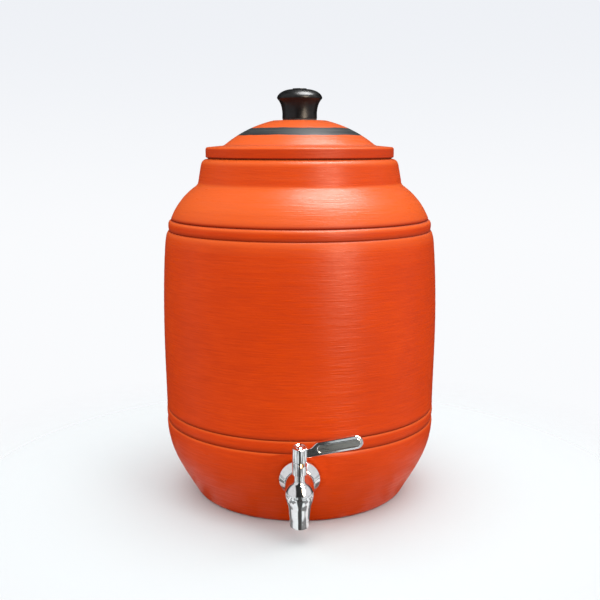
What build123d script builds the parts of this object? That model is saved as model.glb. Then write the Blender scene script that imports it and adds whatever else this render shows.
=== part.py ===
from build123d import *
import os
from math import cos, radians, sin, sqrt, tan

os.makedirs("parts", exist_ok=True)

# Jar outline: radii as insets from the widest place, heights tier by tier from the foot up to the mouth
belly_radius = 130.2
heel_inset = 27.2
heel_height = 5.0
heel_slope = 30.0
foot_inset = 6.0
lower_wall_inset = 1.1
lower_wall_slope = 3.0
lower_groove_height = 74.1
lower_groove_depth = 1.5
lower_bead_inset = 0.7
lower_bead_height = 11.1
belly_low_inset = 0.4
belly_length = 155.5
belly_widest_share = 0.27
belly_top_inset = 2.6
belly_top_slope = 5.0
belly_edge_height = 12.9
upper_groove_depth = 4.4
upper_bead_inset = 3.0
upper_bead_height = 9.8
upper_bead_slope = 5.0
neck_groove_depth = 7.2
bead_edge_height = 3.6
groove_lip_height = 0.8
groove_lip_width = 1.4
shoulder_height = 31.5
shoulder_inset = 24.5
shoulder_curve_radius = 76.0
collar_height = 23.0
collar_slope = 7.7
collar_round = 4.6

# Jar inside, with its thickened pad for the tap
rim_width = 8.8
mouth_round = 1.5
wall_thickness = 9.0
floor_thickness = 12.0
floor_round = 12.0
wall_handle_share = 0.41
tap_pad_radius = 19.0
tap_pad_thickness = 10.0
tap_pad_depth_share = 0.8
tap_flat_radius = 34.0
tap_flat_cut = 12.0
tap_hole_clearance = 0.8

# Lid
lid_inset = 3.8
lid_rim_thickness = 9.4
lid_rim_round = 1.7
lid_rim_rise = 3.2
lid_rim_width = 18.0
lid_dome_rise = 23.6
lid_crease_round = 1.5
lid_wall_thickness = 7.0
lid_crown_thickness = 7.6
lid_lip_clearance = 1.4
lid_lip_thickness = 6.2
lid_lip_depth = 9.0
lid_lip_round = 1.5

# Knob with its bolt, nut and seals
knob_foot_radius = 16.3
knob_waist_radius = 15.9
knob_grip_radius = 21.1
knob_crown_radius = 15.5
knob_height = 27.8
knob_waist_share = 0.36
knob_flare_share = 0.58
knob_lip_share = 0.68
knob_lip_round_share = 0.03
knob_crown_share = 0.985
knob_gasket_inset = 0.9
knob_gasket_thickness = 1.2
knob_cap_radius = 6.6
knob_cap_thickness = 2.2
knob_cap_proud = 0.9
knob_cap_round = 0.4
knob_cap_ledge = 1.0
knob_bolt_radius = 3.0
knob_bolt_clearance = 0.35
knob_bolt_head_height = 3.6
knob_bolt_key_radius = 2.3
knob_bolt_key_depth = 2.0
knob_bolt_end = 2.0
knob_washer_radius = 9.0
knob_washer_thickness = 1.4
knob_nut_radius = 5.8
knob_nut_height = 5.0

# Tap: where it sits on the jar, and the shank through the wall
tap_height = 51.0
tap_flat_depth = 2.2
tap_lean = 11.0
shank_radius = 8.4
shank_end = 26.0
shank_clearance = 0.25
outer_seal_inset = 2.3
outer_seal_thickness = 1.5
flange_radius = 17.9
flange_rim_thickness = 2.6
flange_rim_round = 0.9
flange_front_radius = 13.0
flange_depth = 9.0
inner_seal_radius = 15.0
inner_seal_thickness = 2.0
inner_washer_radius = 15.6
inner_washer_thickness = 1.5
back_nut_radius = 15.6
back_nut_height = 7.5
hex_chamfer = 0.8

# Tap body: barrel, round elbow and spout
barrel_radius = 12.3
valve_distance = 25.0
spout_waist_radius = 10.1
spout_waist_length = 10.7
spout_taper_length = 14.3
spout_taper_slope = 6.0
spout_tip_radius = 8.45
spout_tip_length = 6.2
spout_tip_round = 0.7
spout_bore_radius = 5.6
neck_radius = 4.6
neck_cover_length = 5.8

# Valve: ball, seats and the tube that holds them
ball_radius = 6.5
ball_clearance = 0.25
ball_port_radius = 2.9
ball_slot_width = 2.6
ball_slot_depth = 2.2
seat_lip_width = 0.4
inlet_seat_front_share = 0.76
inlet_seat_length = 3.6
outlet_seat_radius_share = 0.754
outlet_seat_top_share = 0.723
outlet_seat_length = 3.5
outlet_throat_step = 0.4
outlet_throat_length = 2.8
retainer_wall = 2.3
fit_clearance = 0.05

# Bonnet, stem and the seal between them
bonnet_radius = 6.2
bonnet_foot_height = 19.1
bonnet_height = 12.1
bonnet_chamfer = 0.4
bonnet_collar_wall = 1.4
bonnet_notch_depth = 3.4
notch_start_angle = 4.0
stop_tab_angle = 35.0
stop_clearance_angle = 1.0
stem_radius = 3.4
stem_tang_clearance = 0.2
stem_square = 4.4
stem_square_length = 7.8
stem_chamfer = 0.3
bonnet_bore_clearance = 0.3
o_ring_offset = 2.4
o_ring_section_radius = 0.52
o_ring_groove_depth = 1.1
o_ring_groove_width = 1.4

# Lever: hub, blade, screw and cap
lever_turn = 90.0
hub_radius = 6.3
hub_height = 12.55
hub_gap = 0.25
hub_round = 0.5
hub_rim_width = 1.6
hub_dish_depth = 0.8
hub_pad_proud = 0.8
hub_pad_thickness = 4.8
hub_pad_height = 8.8
blade_thickness = 3.0
blade_base_offset = 1.85
blade_rise = 11.5
blade_root_width = 7.7
blade_neck_reach = 9.6
blade_shoulder_reach = 18.0
blade_width = 12.0
blade_reach = 54.0
blade_edge_round = 0.55
panel_start_reach = 15.6
panel_end_margin = 1.9
panel_width = 7.8
panel_offset = 5.7
panel_depth = 0.45
panel_rim = 0.6
panel_rim_proud = 0.25
hub_web = 2.4
screw_clearance = 0.2
lever_screw_radius = 1.45
lever_screw_head_radius = 2.7
lever_screw_head_height = 1.5
lever_screw_length = 7.5
lever_screw_key_radius = 1.2
lever_screw_key_depth = 0.8
lever_cap_edge = 0.4
lever_cap_rise = 0.9

# Every cutting tool runs past the face that it cuts by this much
overrun = 1.0

# Share of a curve's length to which a place on it is found
search_tolerance = 1e-9

# Radii of the jar's tiers
heel_radius = belly_radius - heel_inset
foot_radius = heel_radius - foot_inset
lower_wall_radius = belly_radius - lower_wall_inset
lower_bead_radius = belly_radius - lower_bead_inset
belly_low_radius = belly_radius - belly_low_inset
belly_top_radius = belly_radius - belly_top_inset
upper_groove_radius = belly_top_radius - upper_groove_depth
upper_bead_radius = belly_top_radius - upper_bead_inset
neck_groove_radius = belly_top_radius - neck_groove_depth
collar_foot_radius = neck_groove_radius - shoulder_inset
collar_lean = tan(radians(collar_slope))
collar_top_radius = collar_foot_radius - collar_height * collar_lean
mouth_radius = collar_top_radius - rim_width

# Heights of the jar's tiers
wall_lean = tan(radians(heel_slope))
lower_bead_base = lower_groove_height + groove_lip_height
belly_base = lower_groove_height + lower_bead_height + groove_lip_height
belly_widest_height = belly_base + belly_length * belly_widest_share
belly_top_height = belly_base + belly_length
upper_groove_height = belly_top_height + belly_edge_height
neck_groove_height = upper_groove_height + upper_bead_height
shoulder_base = neck_groove_height + groove_lip_height
collar_foot_height = shoulder_base + shoulder_height
jar_height = collar_foot_height + collar_height

# Lower wall of the jar, as the outer corners of its curve from the heel up to the first groove
lower_top = lower_groove_height - bead_edge_height
lower_handle = wall_handle_share * (lower_top - heel_height)
lower_wall_points = (
    (heel_radius, heel_height),
    (heel_radius + lower_handle * sin(radians(heel_slope)),
     heel_height + lower_handle * cos(radians(heel_slope))),
    (lower_wall_radius - lower_handle * sin(radians(lower_wall_slope)),
     lower_top - lower_handle * cos(radians(lower_wall_slope))),
    (lower_wall_radius, lower_top),
)


def radius_at(points, height):
    """Radius at this height of the curve with these corners, which rises from the first to the last."""
    curve = Bezier(*points)
    low, high = 0, 1
    while high - low > search_tolerance:
        middle = (low + high) / 2
        if (curve @ middle).Y < height:
            low = middle
        else:
            high = middle
    return (curve @ low).X


# Frame of the tap: shank axis outwards and slightly down, valve axis leaning forward with it
lean = radians(tap_lean)
shank_direction = Vector(0, -cos(lean), -sin(lean))
valve_direction = Vector(0, -sin(lean), cos(lean))
tap_seat = Vector(0, tap_flat_depth - radius_at(lower_wall_points, tap_height), tap_height)
valve_centre = tap_seat + shank_direction * valve_distance
shank_plane = Plane(origin=tap_seat, x_dir=(1, 0, 0), z_dir=shank_direction)
shank_section = Plane(origin=tap_seat, x_dir=(1, 0, 0), z_dir=-valve_direction)
valve_plane = Plane(origin=valve_centre, x_dir=(1, 0, 0), z_dir=valve_direction)
valve_section = Plane(origin=valve_centre, x_dir=(1, 0, 0), z_dir=shank_direction)
shank_axis = Axis(tap_seat, shank_direction)
valve_axis = Axis(valve_centre, valve_direction)

# Sizes and places that several pieces share
lid_radius = collar_top_radius - lid_inset
lid_dome_radius = lid_radius - lid_rim_width
knob_gasket_radius = knob_foot_radius - knob_gasket_inset
dome_curve_radius = (lid_dome_radius**2 + lid_dome_rise**2) / (2 * lid_dome_rise)
dome_apex = jar_height + lid_rim_thickness + lid_rim_rise + lid_dome_rise
dome_centre = dome_apex - dome_curve_radius
knob_seat_height = dome_centre + sqrt(dome_curve_radius**2 - knob_gasket_radius**2)
lid_crown_height = knob_seat_height - lid_crown_thickness
knob_base = knob_seat_height + knob_gasket_thickness
knob_top = knob_base + knob_height
knob_cap_base = knob_top + knob_cap_proud - knob_cap_thickness
knob_bolt_hole_radius = knob_bolt_radius + knob_bolt_clearance
knob_bolt_head_radius = knob_cap_radius - knob_cap_ledge
outer_seal_radius = flange_radius - outer_seal_inset
flange_front = outer_seal_thickness + flange_depth
shank_bore_radius = ball_radius + ball_clearance
bonnet_top = bonnet_foot_height + bonnet_height
neck_height = bonnet_foot_height + neck_cover_length
stem_top_height = bonnet_top + stem_square_length
hub_base = bonnet_top + hub_gap
hub_top_height = hub_base + hub_height
seat_inner_radius = ball_port_radius + seat_lip_width
outlet_throat_radius = seat_inner_radius + outlet_throat_step
inlet_seat_front = ball_radius * inlet_seat_front_share
outlet_seat_radius = ball_radius * outlet_seat_radius_share
outlet_seat_top = ball_radius * outlet_seat_top_share
outlet_seat_bottom = outlet_seat_top + outlet_seat_length
spout_bore_top = outlet_seat_bottom + outlet_throat_length


def dome_height(radius, distance):
    """Height of the sphere of this radius, about the dome's centre, this far from the axis."""
    return dome_centre + sqrt(radius**2 - distance**2)


def tier_edge(start, slope, floor_radius, groove_height):
    """Rounded top edge of a tier of the wall, running in to the floor of the groove above it."""
    shoulder = start.X - (groove_height - start.Y) * tan(radians(slope))
    return Bezier(start, (shoulder, groove_height), (floor_radius, groove_height))


def ring(label, plane, start, length, outer_radius, inner_radius):
    """Flat ring such as a washer or a seal, from start to start + length along the plane's axis."""
    with BuildPart() as piece:
        with BuildSketch(plane.offset(start)):
            Circle(outer_radius)
            Circle(inner_radius, mode=Mode.SUBTRACT)
        extrude(amount=length)
    piece.part.label = label
    return piece


def hex_nut(label, plane, start, height, corner_radius, bore_radius):
    """Hexagon nut with its bore, chamfered at both faces."""
    with BuildPart() as piece:
        with BuildSketch(plane.offset(start)):
            RegularPolygon(corner_radius, 6)
        extrude(amount=height)
        ends = piece.faces().filter_by(Axis(plane.origin, plane.z_dir))
        chamfer(ends.edges(), length=hex_chamfer)
        with BuildSketch(plane.offset(start)):
            Circle(bore_radius)
        extrude(amount=height, mode=Mode.SUBTRACT)
    piece.part.label = label
    return piece


# Jar body: thrown clay vessel with two pairs of turned grooves, a collar and a flat for the tap
with BuildPart() as jar_body:
    with BuildSketch(Plane.XZ):
        with BuildLine():
            foot = Line((0, 0), (foot_radius, 0))
            heel_corner = heel_radius - heel_height * wall_lean
            Bezier(foot @ 1, (heel_corner, 0), (heel_radius, heel_height))
            lower_wall = Bezier(*lower_wall_points)
            lower_floor = lower_bead_radius - lower_groove_depth
            lower_edge = tier_edge(lower_wall @ 1, 0, lower_floor, lower_groove_height)
            lower_lip = Line(lower_edge @ 1, (lower_bead_radius, lower_bead_base))
            bead_top_height = lower_groove_height + lower_bead_height
            bead_side = Line(lower_lip @ 1, (lower_bead_radius, bead_top_height - bead_edge_height))
            bead_edge = tier_edge(bead_side @ 1, 0, lower_floor, bead_top_height)
            belly_lip = Line(bead_edge @ 1, (belly_low_radius, belly_base))
            belly_end_lean = tan(radians(belly_top_slope))
            belly = Spline(
                belly_lip @ 1,
                (belly_radius, belly_widest_height),
                (belly_top_radius, belly_top_height),
                tangents=[(0, 1), (-belly_end_lean, 1)],
            )
            belly_edge = tier_edge(belly @ 1, belly_top_slope, upper_groove_radius, upper_groove_height)
            upper_side_base = upper_groove_height + groove_lip_height
            upper_lip = Line(belly_edge @ 1, (upper_groove_radius + groove_lip_width, upper_side_base))
            upper_side_end = neck_groove_height - bead_edge_height
            upper_side_length = upper_side_end - upper_side_base
            upper_side_radius = upper_bead_radius - upper_side_length * tan(radians(upper_bead_slope))
            upper_side = Line(upper_lip @ 1, (upper_side_radius, upper_side_end))
            upper_edge = tier_edge(upper_side @ 1, upper_bead_slope, neck_groove_radius, neck_groove_height)
            neck_lip = Line(upper_edge @ 1, (neck_groove_radius + groove_lip_width, shoulder_base))
            collar_foot = (collar_foot_radius, collar_foot_height)
            shoulder = RadiusArc(neck_lip @ 1, collar_foot, -shoulder_curve_radius)
            collar_end_radius = collar_top_radius + collar_round * collar_lean
            collar = Line(shoulder @ 1, (collar_end_radius, jar_height - collar_round))
            collar_edge = Bezier(
                collar @ 1, (collar_top_radius, jar_height), (collar_top_radius - collar_round, jar_height)
            )
            rim = Line(collar_edge @ 1, (mouth_radius + mouth_round, jar_height))
            mouth_corner = (mouth_radius, jar_height)
            mouth_edge = Bezier(rim @ 1, mouth_corner, (mouth_radius, jar_height - mouth_round))
            mouth = Line(mouth_edge @ 1, (mouth_radius, collar_foot_height))
            inner_radius = belly_top_radius - wall_thickness
            inner_shoulder = Bezier(
                mouth @ 1,
                (collar_foot_radius + wall_thickness / 2, collar_foot_height - wall_thickness),
                (inner_radius, shoulder_base),
                (inner_radius, belly_top_height),
            )
            inner_low_radius = lower_wall_radius - wall_thickness
            inner_belly = Spline(
                inner_shoulder @ 1,
                (belly_radius - wall_thickness, belly_widest_height),
                (inner_low_radius, lower_groove_height),
                tangents=[(0, -1), (0, -1)],
            )
            floor_rise = floor_thickness - heel_height
            slanted_wall = wall_thickness / cos(radians(heel_slope))
            floor_edge_radius = heel_radius + floor_rise * wall_lean - slanted_wall
            inner_handle = wall_handle_share * (lower_groove_height - floor_thickness)
            inner_wall = Bezier(
                inner_belly @ 1,
                (inner_low_radius, lower_groove_height - inner_handle),
                (floor_edge_radius + inner_handle * sin(radians(heel_slope)),
                 floor_thickness + inner_handle * cos(radians(heel_slope))),
                (floor_edge_radius, floor_thickness),
            )
            floor = Line(inner_wall @ 1, (0, floor_thickness))
            Line(floor @ 1, (0, 0))
        section = make_face()
        floor_corner = section.vertices().sort_by_distance((floor_edge_radius, floor_thickness))[0]
        fillet(floor_corner, radius=floor_round)
    revolve(axis=Axis.Z)
    with BuildSketch(shank_plane.offset(-tap_pad_thickness)):
        Circle(tap_pad_radius)
    extrude(amount=tap_pad_thickness * tap_pad_depth_share)
    with BuildSketch(shank_plane.offset(-tap_pad_thickness)):
        Circle(tap_pad_radius)
    extrude(amount=-inner_seal_thickness - inner_washer_thickness - back_nut_height, mode=Mode.SUBTRACT)
    with BuildSketch(shank_plane):
        Circle(tap_flat_radius)
    extrude(amount=tap_flat_cut, mode=Mode.SUBTRACT)
    with BuildSketch(shank_plane.offset(-tap_pad_thickness - overrun)):
        Circle(shank_radius + tap_hole_clearance)
    extrude(amount=tap_pad_thickness + 2 * overrun, mode=Mode.SUBTRACT)
jar_body.part.label = "jar_body"

# Lid: flat rim, domed top and a lip that centres it in the mouth
lip_outer_radius = mouth_radius - lid_lip_clearance
lip_inner_radius = lip_outer_radius - lid_lip_thickness
lip_bottom = jar_height - lid_lip_depth
rim_top = jar_height + lid_rim_thickness
inner_dome_radius = dome_curve_radius - lid_wall_thickness
crown_inner_radius = sqrt(inner_dome_radius**2 - (lid_crown_height - dome_centre) ** 2)
with BuildPart() as lid:
    with BuildSketch(Plane.XZ):
        with BuildLine():
            lip_top = dome_height(inner_dome_radius, lip_inner_radius)
            lip_inside = Line((lip_inner_radius, lip_top), (lip_inner_radius, lip_bottom))
            lip_end = Line(lip_inside @ 1, (lip_outer_radius, lip_bottom))
            lip_outside = Line(lip_end @ 1, (lip_outer_radius, jar_height))
            rim_under = Line(lip_outside @ 1, (lid_radius, jar_height))
            rim_side = Line(rim_under @ 1, (lid_radius, rim_top))
            rim_slope = Line(rim_side @ 1, (lid_dome_radius, rim_top + lid_rim_rise))
            dome = RadiusArc(rim_slope @ 1, (knob_gasket_radius, knob_seat_height), -dome_curve_radius)
            knob_seat = Line(dome @ 1, (knob_bolt_hole_radius, knob_seat_height))
            bolt_hole = Line(knob_seat @ 1, (knob_bolt_hole_radius, lid_crown_height))
            crown_inside = Line(bolt_hole @ 1, (crown_inner_radius, lid_crown_height))
            RadiusArc(crown_inside @ 1, lip_inside @ 0, inner_dome_radius)
        lid_section = make_face()
        fillet(lid_section.vertices().group_by(Axis.X)[-1], radius=lid_rim_round)
        crease = lid_section.vertices().sort_by_distance((lid_dome_radius, rim_top + lid_rim_rise))[0]
        fillet(crease, radius=lid_crease_round)
        lip_corner = lid_section.vertices().sort_by_distance((lip_outer_radius, lip_bottom))[0]
        fillet(lip_corner, radius=lid_lip_round)
    revolve(axis=Axis.Z)
lid.part.label = "lid"

# Knob: moulded black grip, waisted under a rounded head, drilled for its bolt
with BuildPart() as knob:
    with BuildSketch(Plane.XZ):
        with BuildLine():
            knob_foot = Line((0, knob_base), (knob_foot_radius, knob_base))
            knob_side = Line(knob_foot @ 1, (knob_waist_radius, knob_base + knob_height * knob_waist_share))
            lip_low = knob_height * (knob_lip_share - knob_lip_round_share)
            lip_high = knob_height * (knob_lip_share + knob_lip_round_share)
            lip_inset = knob_height * knob_lip_round_share
            knob_flare = Bezier(
                knob_side @ 1,
                (knob_waist_radius, knob_base + knob_height * knob_flare_share),
                (knob_grip_radius - lip_inset, knob_base + lip_low),
            )
            knob_lip = Bezier(
                knob_flare @ 1,
                (knob_grip_radius, knob_base + knob_height * knob_lip_share),
                (knob_grip_radius, knob_base + lip_high),
            )
            knob_crown = Bezier(
                knob_lip @ 1,
                (knob_grip_radius, knob_base + knob_height * knob_crown_share),
                (knob_crown_radius, knob_base + knob_height * knob_crown_share),
            )
            knob_flat = Line(knob_crown @ 1, (knob_cap_radius + fit_clearance, knob_top))
            knob_middle = Line(knob_flat @ 1, (0, knob_top))
            Line(knob_middle @ 1, (0, knob_base))
        make_face()
    revolve(axis=Axis.Z)
    with BuildSketch(Plane.XY.offset(knob_cap_base)):
        Circle(knob_cap_radius + fit_clearance)
    extrude(amount=knob_cap_thickness, mode=Mode.SUBTRACT)
    with BuildSketch(Plane.XY.offset(knob_cap_base - knob_bolt_head_height)):
        Circle(knob_bolt_head_radius + knob_bolt_clearance)
    extrude(amount=knob_bolt_head_height + overrun, mode=Mode.SUBTRACT)
    with BuildSketch(Plane.XY.offset(knob_base - overrun)):
        Circle(knob_bolt_hole_radius)
    extrude(amount=knob_height, mode=Mode.SUBTRACT)
knob.part.label = "knob"

# Disc that closes the bolt hole in the knob's top
with BuildPart() as knob_cap:
    with BuildSketch(Plane.XY.offset(knob_cap_base)):
        Circle(knob_cap_radius)
    extrude(amount=knob_cap_thickness)
    fillet(knob_cap.edges().group_by(Axis.Z)[-1], radius=knob_cap_round)
knob_cap.part.label = "knob_cap"

# Socket bolt through knob and lid, with its gasket, washer and nut
knob_nut_base = lid_crown_height - knob_washer_thickness - knob_nut_height
knob_bolt_head_base = knob_cap_base - knob_bolt_head_height
with BuildPart() as knob_bolt:
    with BuildSketch(Plane.XY.offset(knob_nut_base - knob_bolt_end)):
        Circle(knob_bolt_radius)
    extrude(amount=knob_bolt_head_base + knob_bolt_end - knob_nut_base)
    chamfer(knob_bolt.edges().group_by(Axis.Z)[0], length=hex_chamfer)
    with BuildSketch(Plane.XY.offset(knob_bolt_head_base)):
        Circle(knob_bolt_head_radius)
    extrude(amount=knob_bolt_head_height)
    with BuildSketch(Plane.XY.offset(knob_cap_base)):
        RegularPolygon(knob_bolt_key_radius, 6)
    extrude(amount=-knob_bolt_key_depth, mode=Mode.SUBTRACT)
knob_bolt.part.label = "knob_bolt"

knob_gasket = ring(
    "knob_gasket",
    Plane.XY,
    knob_seat_height,
    knob_gasket_thickness,
    knob_gasket_radius,
    knob_bolt_hole_radius,
)
knob_washer = ring(
    "knob_washer",
    Plane.XY,
    lid_crown_height - knob_washer_thickness,
    knob_washer_thickness,
    knob_washer_radius,
    knob_bolt_hole_radius,
)
knob_nut = hex_nut(
    "knob_nut", Plane.XY, knob_nut_base, knob_nut_height, knob_nut_radius, knob_bolt_radius + fit_clearance
)

# Seals, washer and nut that clamp the shank in the wall
shank_hole_radius = shank_radius + shank_clearance
inner_seal_start = -tap_pad_thickness - inner_seal_thickness
inner_washer_start = inner_seal_start - inner_washer_thickness
outer_seal = ring("outer_seal", shank_plane, 0, outer_seal_thickness, outer_seal_radius, shank_hole_radius)
inner_seal = ring(
    "inner_seal", shank_plane, inner_seal_start, inner_seal_thickness, inner_seal_radius, shank_hole_radius
)
inner_washer = ring(
    "inner_washer",
    shank_plane,
    inner_washer_start,
    inner_washer_thickness,
    inner_washer_radius,
    shank_hole_radius,
)
back_nut = hex_nut(
    "back_nut",
    shank_plane,
    inner_washer_start - back_nut_height,
    back_nut_height,
    back_nut_radius,
    shank_radius + fit_clearance,
)

# Flange: turned conical rose that covers the hole in the clay
with BuildPart() as tap_flange:
    with BuildSketch(shank_section):
        with BuildLine():
            flange_rim_end = outer_seal_thickness + flange_rim_thickness
            Polyline(
                (shank_hole_radius, outer_seal_thickness),
                (flange_radius, outer_seal_thickness),
                (flange_radius, flange_rim_end),
                (flange_front_radius, flange_front),
                (shank_hole_radius, flange_front),
                close=True,
            )
        flange_face = make_face()
        rim_corner = flange_face.vertices().sort_by_distance((flange_radius, flange_rim_end))[0]
        fillet(rim_corner, radius=flange_rim_round)
    revolve(axis=shank_axis)
tap_flange.part.label = "tap_flange"

# Tap body: shank, barrel, round elbow, neck and spout in one casting, bored through
spout_taper_end = spout_waist_length + spout_taper_length
spout_length = spout_taper_end + spout_tip_length
with BuildPart() as tap_body:
    with BuildSketch(shank_plane.offset(-shank_end)):
        Circle(shank_radius)
    extrude(amount=shank_end + flange_front)
    with BuildSketch(shank_plane.offset(flange_front)):
        Circle(barrel_radius)
    extrude(amount=valve_distance - flange_front)
    with BuildSketch(valve_section):
        with BuildLine():
            elbow = CenterArc((0, 0), barrel_radius, 90, -90)
            spout_lean = tan(radians(spout_taper_slope))
            spout_side = Spline(
                elbow @ 1,
                (spout_waist_radius, -spout_waist_length),
                (spout_tip_radius, -spout_taper_end),
                tangents=[(0, -1), (-spout_lean, -1)],
            )
            spout_tip = Line(spout_side @ 1, (spout_tip_radius, -spout_length))
            spout_end = Line(spout_tip @ 1, (0, -spout_length))
            Line(spout_end @ 1, elbow @ 0)
        make_face()
    revolve(axis=valve_axis)
    with BuildSketch(valve_plane):
        Circle(neck_radius)
    extrude(amount=neck_height)
    spout_face = tap_body.faces().filter_by(valve_axis).sort_by(valve_axis)[0]
    fillet(spout_face.edges(), radius=spout_tip_round)
    with BuildSketch(shank_plane.offset(-shank_end)):
        Circle(shank_bore_radius)
    extrude(amount=shank_end + valve_distance, mode=Mode.SUBTRACT)
    with Locations(valve_centre):
        Sphere(shank_bore_radius, mode=Mode.SUBTRACT)
    with BuildSketch(valve_plane):
        Circle(stem_radius + fit_clearance)
    extrude(amount=neck_height, mode=Mode.SUBTRACT)
    with BuildSketch(valve_plane):
        Circle(outlet_seat_radius + fit_clearance)
    extrude(amount=-outlet_seat_bottom, mode=Mode.SUBTRACT)
    with BuildSketch(valve_plane):
        Circle(outlet_throat_radius)
    extrude(amount=-spout_bore_top, mode=Mode.SUBTRACT)
    with BuildSketch(valve_plane.offset(-spout_bore_top)):
        Circle(spout_bore_radius)
    extrude(amount=spout_bore_top - spout_length, mode=Mode.SUBTRACT)
tap_body.part.label = "tap_body"

# Ball with an angled port: down to the spout, and sideways while the tap is shut
with BuildPart() as valve_ball:
    with Locations(valve_centre):
        Sphere(ball_radius)
    with BuildSketch(valve_plane):
        Circle(ball_port_radius)
    extrude(amount=-ball_radius, mode=Mode.SUBTRACT)
    with BuildSketch(Plane(origin=valve_centre, x_dir=valve_direction, z_dir=(-1, 0, 0))):
        Circle(ball_port_radius)
    extrude(amount=ball_radius, mode=Mode.SUBTRACT)
    with BuildSketch(valve_plane.offset(ball_radius - ball_slot_depth)):
        Rectangle(2 * ball_radius, ball_slot_width)
    extrude(amount=ball_slot_depth, mode=Mode.SUBTRACT)
valve_ball.part.label = "valve_ball"

# Pair of seat rings, one on the inlet side of the ball and one under it
inlet_seat_back = valve_distance - inlet_seat_front - inlet_seat_length
with BuildPart() as ball_seats:
    with BuildSketch(shank_plane.offset(inlet_seat_back)):
        Circle(shank_bore_radius - fit_clearance)
        Circle(seat_inner_radius, mode=Mode.SUBTRACT)
    extrude(amount=inlet_seat_length)
    with BuildSketch(valve_plane.offset(-outlet_seat_bottom)):
        Circle(outlet_seat_radius)
        Circle(seat_inner_radius, mode=Mode.SUBTRACT)
    extrude(amount=outlet_seat_length)
    with Locations(valve_centre):
        Sphere(shank_bore_radius, mode=Mode.SUBTRACT)
ball_seats.part.label = "ball_seats"

seat_retainer = ring(
    "seat_retainer",
    shank_plane,
    -shank_end,
    shank_end + inlet_seat_back,
    shank_bore_radius - fit_clearance,
    shank_bore_radius - fit_clearance - retainer_wall,
)

# Bonnet: turned sleeve on the neck, its collar cut away where the stop tab swings
notch_angle = lever_turn + stop_tab_angle + 2 * stop_clearance_angle
bonnet_bore_top = neck_height + bonnet_bore_clearance
bonnet_collar_floor = bonnet_top - bonnet_notch_depth
with BuildPart() as bonnet:
    with BuildSketch(valve_plane.offset(bonnet_foot_height)):
        Circle(bonnet_radius)
    extrude(amount=bonnet_height)
    chamfer(bonnet.faces().filter_by(valve_axis).edges(), length=bonnet_chamfer)
    with BuildSketch(valve_plane.offset(bonnet_foot_height)):
        Circle(neck_radius + fit_clearance)
    extrude(amount=bonnet_bore_top - bonnet_foot_height, mode=Mode.SUBTRACT)
    with BuildSketch(valve_plane.offset(bonnet_foot_height)):
        Circle(stem_radius + fit_clearance)
    extrude(amount=bonnet_height, mode=Mode.SUBTRACT)
    with BuildSketch(valve_plane.offset(bonnet_collar_floor)):
        Circle(bonnet_radius - bonnet_collar_wall)
        with BuildLine():
            notch_arc = CenterArc((0, 0), bonnet_radius + overrun, notch_start_angle - 90, notch_angle)
            Polyline(notch_arc @ 1, (0, 0), notch_arc @ 0)
        make_face()
    extrude(amount=bonnet_notch_depth, mode=Mode.SUBTRACT)
bonnet.part.label = "bonnet"

# Stem: brass spindle with a tang in the ball and a square in the lever
tang_foot = ball_radius - ball_slot_depth + stem_tang_clearance
o_ring_height = bonnet_foot_height + o_ring_offset
o_ring_groove_radius = stem_radius - o_ring_groove_depth
screw_hole_depth = lever_screw_length - hub_web + overrun
with BuildPart() as stem:
    with BuildSketch(valve_plane.offset(shank_bore_radius)):
        Circle(stem_radius)
    extrude(amount=bonnet_top - shank_bore_radius)
    with BuildSketch(valve_plane.offset(o_ring_height - o_ring_groove_width / 2)):
        Circle(stem_radius)
        Circle(o_ring_groove_radius, mode=Mode.SUBTRACT)
    extrude(amount=o_ring_groove_width, mode=Mode.SUBTRACT)
    with BuildSketch(valve_plane.offset(tang_foot)):
        Circle(stem_radius)
        Rectangle(2 * stem_radius, ball_slot_width - stem_tang_clearance, mode=Mode.INTERSECT)
    extrude(amount=shank_bore_radius - tang_foot)
    with BuildSketch(valve_plane.offset(bonnet_top)):
        Rectangle(stem_square, stem_square)
    extrude(amount=stem_top_height - bonnet_top)
    stem_end = stem.faces().filter_by(valve_axis).sort_by(valve_axis)[-1]
    chamfer(stem_end.edges(), length=stem_chamfer)
    with BuildSketch(valve_plane.offset(stem_top_height)):
        Circle(lever_screw_radius + fit_clearance)
    extrude(amount=-screw_hole_depth, mode=Mode.SUBTRACT)
stem.part.label = "stem"

# Rubber ring in the groove of the stem
with BuildPart() as stem_o_ring:
    with BuildSketch(valve_section):
        with Locations((o_ring_groove_radius + fit_clearance / 2 + o_ring_section_radius, o_ring_height)):
            Circle(o_ring_section_radius)
    revolve(axis=valve_axis)
stem_o_ring.part.label = "stem_o_ring"

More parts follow.
